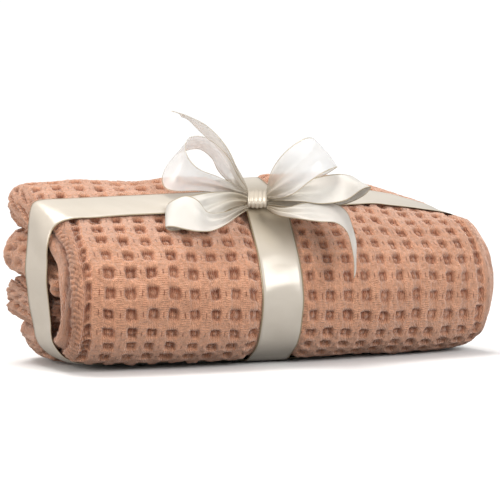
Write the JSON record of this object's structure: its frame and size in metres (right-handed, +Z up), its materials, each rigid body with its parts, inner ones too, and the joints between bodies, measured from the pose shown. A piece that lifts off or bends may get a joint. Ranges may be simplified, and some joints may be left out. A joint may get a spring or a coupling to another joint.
{
  "type": "folded blanket",
  "caption": "Waffle-weave cotton blanket folded into a soft rectangular bundle and tied both ways with a satin ribbon and bow.",
  "frame": {"origin": "centre of the bounding box on the surface that the bundle rests on", "axes": "+X along the bundle, +Y to its back fold, +Z up"},
  "size_m": [0.429, 0.1872, 0.2163],
  "materials": {
    "cotton": "soft terracotta-pink cotton, matt",
    "satin": "champagne satin ribbon, soft sheen"
  },
  "bodies": {
    "root": {"blanket": "cotton", "ribbon_long": "satin", "ribbon_cross": "satin", "bow_knot": "satin", "bow_loop_upper_left": "satin", "bow_loop_lower_left": "satin", "bow_loop_upper_right": "satin", "bow_loop_lower_right": "satin", "bow_tail_left": "satin", "bow_tail_right": "satin"}
  },
  "joints": []
}
